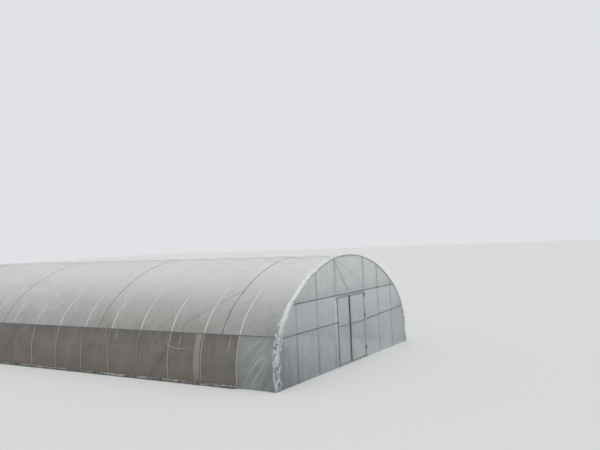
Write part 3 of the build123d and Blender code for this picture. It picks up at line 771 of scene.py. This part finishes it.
# %% Leaf films
LEAF_LOW, LEAF_HIGH, LEAF_RAIL = 0.02, 1.995, 1.15
LEAF_HELD, LEAF_SLACK = 0.03, 0.04
BATTEN_HALF, BATTEN_THICK = 0.012, 0.003
BATTEN_EDGES = (
    (-BATTEN_HALF, 0), (-BATTEN_HALF, BATTEN_THICK), (BATTEN_HALF, BATTEN_THICK), (BATTEN_HALF, 0)
)
for leaf, seed in (("left_leaf", 51), ("right_leaf", 54)):
    film_low, film_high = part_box(f"{leaf}_film")
    start, stop = film_low.x, film_high.x
    rails = (start + 0.005, stop - 0.005)
    for pane, low, high in (("low", LEAF_LOW, LEAF_RAIL), ("high", LEAF_RAIL, LEAF_HIGH)):
        panel = gable_panel(
            f"{leaf}_{pane}_sheet", -1, start, stop, level(low), level(high), seed,
            rails, LEAF_HELD, LEAF_SLACK,
        )
        fit(panel, GABLE_FILM, "gable_film", f"{leaf}_film", body=leaf)
        declare(panel, stop - start, high - low, "stretched", f"{leaf}_frame")
    corners = [
        [(x, -FILM_FACE - 0.001 - depth, LEAF_RAIL + edge) for edge, depth in BATTEN_EDGES]
        for x in np.linspace(start + 0.002, stop - 0.002, 9)
    ]
    batten = tube(f"{leaf}_batten", np.array(corners))
    fit(batten, CHANNEL_STEEL, "clamp_channel", body=leaf)

# %% Film over the door head and the left door post
POST_WRAP = (-0.945, -0.79)
WRAP_OUT, WRAP_TOP = FACE + 0.0125, 1.96
FLAP_FOOT, FLAP_DROP = 2.001, 0.048
for name, low, high, seed in (
    ("post_wrap_low", 0.0, LEFT_RAIL - GRIP, 57),
    ("post_wrap_high", LEFT_RAIL + GRIP, WRAP_TOP, 58),
):
    wrap = gable_panel(
        name, -1, *POST_WRAP, level(low), level(high), seed, POST_WRAP[1:], slack=0.02, face=WRAP_OUT
    )
    fit(wrap, DOUBLE_FILM, "gable_film")
    declare(wrap, POST_WRAP[1] - POST_WRAP[0], high - low, "hung", "door_posts")
taut = np.arange(DOOR_LEFT, DOOR_RIGHT, 0.06)
flap = gable_panel(
    "door_head_flap", -1, DOOR_LEFT, DOOR_RIGHT, level(FLAP_FOOT), level(LINTEL_FOOT), 59, taut
)
fit(flap, DOUBLE_FILM, "gable_film")
declare(flap, DOOR_RIGHT - DOOR_LEFT, FLAP_DROP, "hung", "door_head")

# %% [markdown]
# ## The sides: net, with film in the end spaces
# Below the channels the net hangs from its wire to the ground and is drawn in a little between the
# hoops. In the first space at either end there is film instead, which keeps rain off the doorway.

# %% A sheet on one side
NET_TOP = SIDE_CHANNEL - GRIP
FIRST_HOOP = ARCH_Y - HOOP_PITCH
BAY_STEPS, END_STEPS = 30, 50
END_LAP = 0.02
net_rows = np.linspace(0, NET_TOP, 50)
net_places = np.linspace(-FIRST_HOOP, FIRST_HOOP, (BAYS - 2) * BAY_STEPS + 1)
end_places = np.linspace(FIRST_HOOP + 0.01, FACE + 0.002, END_STEPS)


def side_sheet(name, mirror, places, seed, sag, fold, lift=0.0022):
    """Net or film on one side; mirror is 1 on the left and -1 on the right."""

    def point(y, along):
        free = between_hoops(y)
        below = NET_TOP - along
        loose = 1 - np.exp(-below / 0.12)
        drawn_in = sag * free * (2 - free) * loose
        folds = fold * waves((y + 0.5 * along) / 0.34, (along - 0.5 * y) / 0.9, seed) * free * loose
        pleats = 0.004 * waves(y / 0.05, along / 0.5, seed + 1) * free * np.exp(-below / 0.25)
        broad = crease((y + 0.8 * along) / 0.4, (along - 0.8 * y) / 1.2, seed + 2) ** 2
        fine = crease((y + 0.6 * along) / 0.15, (along - 0.6 * y) / 0.7, seed + 3) ** 2
        crests = np.maximum(broad, 0.7 * fine) * free * loose
        out = np.minimum(folds, drawn_in + 0.3 * fold * free) - drawn_in
        x, z = on_arch(along, PIPE_R + lift + out + pleats * (below > 0) + 0.4 * fold * crests)
        # The fourth value marks the crests for painted highlights.
        return mirror * x, y, z, crests * min(fold / 0.027, 0.75)

    return sheet(name, places, net_rows, point)


# %% Nets and end films
for mirror, where in SIDES:
    netting = side_sheet(
        f"{where}_net_sheet", mirror, net_places, 60 + mirror, sag=0.016, fold=0.007
    )
    fit(netting, NET, "side_net", f"{where}_net")
    declare(netting, NET_TOP, 2 * FIRST_HOOP, "stretched", "hoops", f"{where}_clamp_channel")
    for sign, end in ENDS:
        cover = side_sheet(
            f"{where}_{end}_end_sheet", mirror, sign * end_places, 70 + mirror + 3 * sign,
            sag=0.022, fold=0.02,
        )
        fit(cover, SIDE_FILM, "gable_film", f"{where}_end_films")
        declare(cover, NET_TOP, HOOP_PITCH + END_LAP, "stretched", f"{end}_arch", "hoops")

# %% [markdown]
# On the left, a second strip of net hangs over the first beside the third hoop, and a little
# further on the net is pinched into a fold that droops. Both are separate sheets that lie on it.

# %% The second strip and the pinched fold on the left net
STRIP_START, STRIP_END = -6.54, -6.34
FOLD_MIDDLE, FOLD_HALF = -5.66, 0.36
FOLD_CUT = (0.045, 0.73)
strip = side_sheet(
    "left_net_strip", 1, np.linspace(STRIP_START, STRIP_END, 9), 77,
    sag=0.004, fold=0.003, lift=0.0065,
)
fit(strip, DOUBLE_NET, "side_net")
declare(strip, STRIP_END - STRIP_START, NET_TOP, "hung", "left_net_sheet")


def pinched(share, y):
    """A fold 3 cm deep that droops between its two ends."""
    run = (y - FOLD_MIDDLE) / FOLD_HALF
    droop = np.clip(1 - run**2, 0, 1)
    height = 0.96 - 0.07 * droop + 0.05 * run + 0.032 * share
    stand = 0.0045 + 0.011 * np.sin(math.pi * share) * np.sqrt(droop)
    x, z = on_arch(along_at(height), PIPE_R + stand)
    return x, y, z


places = np.linspace(FOLD_MIDDLE - FOLD_HALF, FOLD_MIDDLE + FOLD_HALF, 40)
pinch = sheet("left_net_fold", np.linspace(0, 1, 7), places, pinched)
fit(pinch, DOUBLE_NET, "side_net")
declare(pinch, *FOLD_CUT, "folded", "left_net_sheet")

# %% [markdown]
# ## Surplus film along the gables
# The film is cut wider than it needs to be, and what is left past the channel bunches up along the
# arch. On the left leg it is a broad crumpled band that turns over the edge of the arch and lies on
# the gable at its foot, then thins to a bright rim towards the ridge. On the right leg it is short.
# A hem is one gathered sheet: its width comes from a few sizes along the arch, its edge is ragged,
# and creases that run with the arch lift it off what it lies on.

# %% Sizes of the hems
HEM_BASE = PIPE_R + 0.0095
HEM_FRONT = FACE + 0.0145
HEM_COLUMNS, HEM_ROWS, HEM_SLACK = 56, 560, 3.2
HEM_PLACES = [0.0, 0.8, 1.4, 2.2, 3.1, 3.8, 4.3, 4.9, 5.7]
LEFT_HEM_ROOF = [0.08, 0.10, 0.11, 0.09, 0.09, 0.19, 0.14, 0.12, 0.09]
LEFT_HEM_GABLE = [0.23, 0.20, 0.16, 0.07, 0.035, 0.02, 0.006, 0.002, 0.002]
RIGHT_HEM_ROOF = [0.06, 0.06, 0.05, 0.03, 0.02, 0.015, 0.012, 0.01, 0.01]
RIGHT_HEM_GABLE = [0.12, 0.09, 0.05, 0.004, 0.002, 0.002, 0.002, 0.002, 0.002]


def step_up(value, low, high):
    """0 up to low, 1 from high on and smooth between, for plain numbers."""
    share = np.clip((value - low) / (high - low), 0, 1)
    return share * share * (3 - 2 * share)


# %% Gathered hems
def hem(where, mirror, end, side, roof_widths, gable_widths, seed):
    """Gathered film over one leg of a gable arch."""
    length = HEM_PLACES[-1]

    def point(share, along):
        ragged = (
            1 + 0.32 * waves(along / 0.11, along / 0.9, seed)
            + 0.16 * waves(along / 0.04, 0 * along, seed + 9)
        )
        on_roof = np.interp(along, HEM_PLACES, roof_widths) * ragged
        on_gable = np.interp(along, HEM_PLACES, gable_widths) * (2 - ragged)
        run = share * (on_roof + on_gable) - on_roof
        thick = np.clip((on_roof + on_gable) / 0.2, 0.12, 1)
        wander = run + 0.035 * waves(along / 0.2, share * 2.5, seed + 1)
        tilted, across = wander + 0.35 * along, along - 0.35 * wander
        crumpled = waves(tilted / 0.03, across / 0.075, seed + 5, straight=True)
        small = waves((wander - 0.6 * along) / 0.02, along / 0.035, seed + 6, straight=True)
        folds = (
            0.017 * crease(wander / 0.036, along / 0.4, seed + 2)
            + 0.006 * crease((wander + 0.2 * along) / 0.03, along / 0.11, seed + 3)
            + 0.013 * np.abs(crumpled) + 0.007 * np.abs(small)
        )
        inner = np.sin(np.pi * np.clip(share, 0, 1)) ** 0.45
        flap = 0.016 * np.clip(waves(along / 0.14, share * 2, seed + 4), 0, 1) * (1 - inner)
        lift = (folds * inner + flap) * thick
        lean = step_up(run, -0.03, 0.03) * math.pi / 2
        x, z = on_arch(along, HEM_BASE - np.clip(run, 0, None) + lift * np.cos(lean))
        y = HEM_FRONT + np.clip(run, None, 0) + lift * np.sin(lean)
        # The fold mask: low between the creases, which get painted shade, and high on them.
        fold = np.clip(folds / 0.027, 0, 1) * inner + 0.5 * (1 - inner)
        return mirror * x, side * y, np.maximum(z, 0.004), fold

    shares, places = np.linspace(0, 1, HEM_COLUMNS), np.linspace(0, length, HEM_ROWS)
    gathered = sheet(f"{where}_{end}_hem", shares, places, point)
    fit(gathered, HEM_FILM, "surplus_film", f"{end}_hems")
    declare(gathered, HEM_SLACK * max(roof_widths), length, "gathered", f"{end}_arch")


for side, end in ENDS:
    hem("left", 1, end, side, LEFT_HEM_ROOF, LEFT_HEM_GABLE, 80 + 4 * side)
    hem("right", -1, end, side, RIGHT_HEM_ROOF, RIGHT_HEM_GABLE, 180 + 4 * side)

# %% [markdown]
# ## The rolled side curtains
# Each side has a curtain of film rolled on a thin pipe, lowered to the ground. A roll is a spiral,
# which shows at its ends, so it is one long sheet wound on its pipe. The turns share one set of
# dents, which keeps them from cutting through each other.

# %% Curtain rolls and their pipes
ROLL_TURNS, ROLL_CORE, TURN_GAP = 6, 0.0145, 0.005
TURN_STEPS, ROLL_ROWS = 16, 241
CURTAIN_WIDTH = 1.2
THIN_PIPE_R, PIPE_END = 0.0125, 0.06
for mirror, where in SIDES:
    roll_low, roll_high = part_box(f"{where}_curtain_roll")
    roll_x = (roll_low.x + roll_high.x) / 2
    roll_z = (roll_low.z + roll_high.z) / 2

    def wound(turn, y):
        """A place on the spiral, dented alike in every turn."""
        a, b = 3 + 3 * np.cos(turn), 3 + 3 * np.sin(turn)
        dents = (
            0.09 * waves(y / 0.23 + a, b / 2, 90 + mirror)
            + 0.06 * crease(y / 0.09 + b, a / 2, 92 + mirror) - 0.11
        )
        radius = (ROLL_CORE + TURN_GAP * turn / (2 * math.pi)) * (1 + dents)
        # The fold mask: low in the dents, which get painted shade.
        fold = 0.25 + 0.75 * np.clip(0.5 + dents / 0.16, 0, 1)
        return roll_x + np.cos(turn) * radius, y, roll_z + np.sin(turn) * radius, fold

    spiral = sheet(
        f"{where}_curtain_sheet",
        np.linspace(0, 2 * math.pi * ROLL_TURNS, ROLL_TURNS * TURN_STEPS + 1),
        np.linspace(-FIRST_HOOP, FIRST_HOOP, ROLL_ROWS), wound,
    )
    fit(spiral, HEM_FILM, "surplus_film", f"{where}_curtain_roll")
    declare(spiral, CURTAIN_WIDTH, 2 * FIRST_HOOP, "folded", f"{where}_net_sheet")
    pipe_half = FIRST_HOOP + PIPE_END
    line = [(roll_x, y, roll_z) for y in np.linspace(-pipe_half, pipe_half, 40)]
    pipe = tube(f"{where}_roll_pipe", wire_rings(line, THIN_PIPE_R, 16))
    fit(pipe, PIPE, "galvanised_pipe", f"{where}_curtain_roll")

# %% [markdown]
# ## Sprung wires in the clamp channels
# A clamp channel grips film with a zigzag of sprung wire pressed into its groove. Each wire is one
# tube that swings from lip to lip along its channel, straight or round the arch.

# %% A zigzag wire
WAVE = 0.07
SWING = 0.0085
WIRE_R = 0.0013
WIRE_END = 0.01
WIRE_DEPTH = 0.0075


def zigzag(name, length, place):
    """A wire along a channel; place turns distances along and across it into X, Y and Z."""
    along = np.arange(WIRE_END, length - WIRE_END, WAVE / 6)
    swing = np.clip(1.35 * np.sin(2 * math.pi * along / WAVE), -1, 1) * SWING
    x, y, z = place(along, swing)
    points = np.stack([np.broadcast_to(part, along.shape) for part in (x, y, z)], axis=-1)
    wire = tube(name, wire_rings(points, WIRE_R, 4))
    fit(wire, PIPE, "clamp_channel")


# %% Wires in the side channels
for mirror, where in SIDES:
    def in_side_channel(along, swing):
        """A place in the straight channel along one side."""
        x, z = on_arch(SIDE_CHANNEL + swing, PIPE_R + WIRE_DEPTH)
        return mirror * x, along - FACE, z

    zigzag(f"{where}_channel_wire", 2 * FACE, in_side_channel)

# %% Wires in the gables' channels
rail_end = float(half_width(LEFT_RAIL)) - END_ROOM
for side, end in ENDS:
    depth = side * (FACE + WIRE_DEPTH)

    def round_arch(along, swing):
        """A place in the channel that is bent along a gable arch."""
        x, z = on_arch(along, swing)
        return x, depth, z

    zigzag(f"{end}_arch_wire", 2 * HALF_ARCH, round_arch)
    spans = [("lintel", -crown_end, crown_end, LINTEL, LINTEL)]
    if side < 0:
        spans.append(("left_rail", -rail_end, DOOR_LEFT, LEFT_RAIL, LEFT_RAIL))
        spans.append(("right_rail", DOOR_RIGHT, rail_end, RIGHT_RAIL_LOW, right_rail(rail_end)))
    else:
        spans.append(("rail", -rail_end, rail_end, LEFT_RAIL, LEFT_RAIL))
    for label, start, stop, low, high in spans:
        slope = (high - low) / (stop - start)
        zigzag(
            f"{end}_{label}_wire", stop - start,
            lambda along, swing: (start + along, depth, low + slope * along + swing),
        )

# %% [markdown]
# ## Clamps and screws
# The ridge pipe hangs under the hoops in sprung clamps, one at each crossing, and every channel is
# screwed to the hoop or post behind it. All clamps are one mesh and all screws another, each made
# of one shape that is set down at many places.

# %% Clamps at the ridge
def joined(name, parts):
    """One mesh from several arrays of rings, each closed into a tube."""
    pieces = [tube(name, rings) for rings in parts]
    with bpy.context.temp_override(active_object=pieces[0], selected_editable_objects=pieces):
        bpy.ops.object.join()
    return pieces[0]


PURLIN_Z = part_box("ridge_purlin")[0].z + THIN_PIPE_R
CLAMP_R = 0.0155
CLAMP_WIRE_R, CLAMP_ASIDE = 0.0016, 0.019


def clamp_loop(y):
    """A wire loop that hugs the ridge pipe from below and hooks over the hoop on both sides."""
    swing = np.linspace(math.radians(-150), math.radians(150), 25)
    reach = CLAMP_R + 0.012 * np.clip((np.abs(swing) - 1.9) / 0.7, 0, 1)
    z = PURLIN_Z - CLAMP_R * np.cos(swing) * np.where(np.abs(swing) < 1.6, 1, 1.9)
    return np.stack([np.sin(swing) * reach, np.full_like(swing, y), z], axis=-1)


loops = [
    wire_rings(clamp_loop(y + gap), CLAMP_WIRE_R, 6)
    for y in HOOPS[1:-1] for gap in (-CLAMP_ASIDE, CLAMP_ASIDE)
]
clamps = joined("ridge_clamps", loops)
fit(clamps, PIPE, "galvanised_pipe")
print("made", len(HOOPS) - 2, "ridge clamps")


# %% A screw
SCREW_PROFILE = (
    (0, 0.0065), (0.0012, 0.0065), (0.0013, 0.0042), (0.0042, 0.0040), (0.0050, 0.0032)
)


def screw(place, outward):
    """A head on a washer, standing outward from the back of a channel."""
    outward = Vector(outward).normalized()
    across = outward.orthogonal().normalized()
    other = outward.cross(across)
    rim = [across * math.cos(t) + other * math.sin(t) for t in np.arange(12) * math.tau / 12]
    rings = [
        [Vector(place) + (corner * radius + outward * height) for corner in rim]
        for height, radius in SCREW_PROFILE
    ]
    return np.array(rings)


# %% Screws in the channels
SCREW_OUT = 0.0024
HOOP_ASIDE, POST_ASIDE = 0.011, 0.005
heads = []
for mirror in (-1, 1):
    slope = (SIDE_CHANNEL - LEG) / SHOULDER_R
    x, z = on_arch(SIDE_CHANNEL, PIPE_R + SCREW_OUT)
    outward = (mirror * math.cos(slope), 0, math.sin(slope))
    heads += [screw((mirror * abs(x), y + HOOP_ASIDE, float(z)), outward) for y in HOOPS[1:-1]]
for side in (-1, 1):
    spots = [(x, LINTEL) for x in POSTS]
    spots += [(x, LEFT_RAIL) for x in (POSTS if side > 0 else POSTS[:2])]
    if side < 0:
        spots += [(x, right_rail(x)) for x in POSTS[4:]]
    depth = side * (FACE + SCREW_OUT)
    heads += [screw((x + POST_ASIDE, depth, z), (0, side, 0)) for x, z in spots]
screws = joined("channel_screws", heads)
fit(screws, PIPE, "clamp_channel")
print("made", len(heads), "screws")

# %% [markdown]
# ## Finishes for the imported steel
# The imported nodes keep their meshes. Each one is given the finish of its material slot in the
# record, or its own where it is darker or paler than the rest; the gable posts, lintel pipes and
# brace are darker as painted shade.

# %% Finish the imported nodes
FINISHES = dict(
    galvanised_pipe=PIPE, door_steel=DOOR_STEEL, hinge_steel=HINGE_STEEL, side_net=NET,
    clamp_channel=CHANNEL_STEEL, roof_film=ROOF_FILM, gable_film=GABLE_FILM,
    surplus_film=DOUBLE_FILM, strap=STRAP,
)
# The gable posts, lintel pipes and brace get darker finishes as painted shade.
OWN_FINISHES = dict(
    front_posts=SHADED_POST_PIPE, back_posts=SHADED_POST_PIPE, front_lintel_pipe=SHADED_POST_PIPE,
    back_lintel_pipe=SHADED_POST_PIPE, gable_brace=SHADED_BRACE_PIPE, door_posts=DOOR_POST,
    front_arch_channel=RIM_STEEL, back_arch_channel=RIM_STEEL,
)
for part in frame["record"]["subparts"]:
    finish = OWN_FINISHES.get(part["node"], FINISHES[part["material_slot"]])
    packed = frame["nodes"][part["node"]].data.materials
    packed.clear()
    packed.append(finish)

# %% [markdown]
# ## Floor, light and camera
# The object stands on a plain pale floor under an even, overcast light: a pale dome all round and
# a wide, soft sun nearly overhead. The camera stands where the photograph was taken, 3.8 m above
# the floor, 17 m to the left of the middle and 9 m in front of the gable. Its place, heading,
# pitch and roll were solved from the arch, the hoops and the channels.

# %% Floor
FLOOR_HALF = 150.0
FLOOR_Z = -0.001
floor = add_mesh(
    "floor",
    [(x * FLOOR_HALF, y * FLOOR_HALF, FLOOR_Z) for x, y in ((-1, -1), (1, -1), (1, 1), (-1, 1))],
    [(0, 1, 2, 3)],
)
made, place = begin("pale_floor")
floor.data.materials.append(close(made, place, rgb(226, 226, 223), 0.9))

# %% Light
DOME = 0.62
BACKGROUND = 0.78
world = bpy.data.worlds.new("overcast")
world.use_nodes = True
world.node_tree.nodes.clear()
ray = Shade(world.node_tree).node("LightPath")
seen = ray
for output in ("Is Glossy Ray", "Is Transmission Ray"):
    seen = seen.maths("MAXIMUM", seen, Shade(world.node_tree, ray.socket.node.outputs[output]))
strength = DOME + (BACKGROUND - DOME) * seen
dome = ray.node("Background", {}, {"Color": rgb(250, 252, 255), "Strength": strength})
ray.node("OutputWorld", {}, {"Surface": dome})
scene.world = world

sun_data = bpy.data.lights.new("soft_sun", "SUN")
sun_data.energy = 1.1
sun_data.angle = math.radians(70)
sun = bpy.data.objects.new("soft_sun", sun_data)
sun.rotation_euler = (math.radians(22), math.radians(-20), 0)
link(sun)

# %% Camera
EYE = (-17.195, -18.225, 3.806)
HEADING, PITCH, ROLL = 57.809, 1.051, -2.624
FOCAL_PIXELS, PHOTO_WIDTH, SENSOR = 649.6, 600, 36.0
lens = bpy.data.cameras.new("camera")
lens.sensor_width = SENSOR
lens.lens = FOCAL_PIXELS / PHOTO_WIDTH * SENSOR
lens.clip_end = 500.0
camera = bpy.data.objects.new("camera", lens)
heading = Matrix.Rotation(math.radians(-HEADING), 4, "Z")
pitch = Matrix.Rotation(math.radians(90 + PITCH), 4, "X")
roll = Matrix.Rotation(math.radians(ROLL), 4, "Z")
camera.matrix_world = Matrix.Translation(EYE) @ (heading @ pitch) @ roll
link(camera)
scene.camera = camera
scene.view_settings.view_transform = "Standard"
print(f"camera lens {lens.lens:.1f} mm")
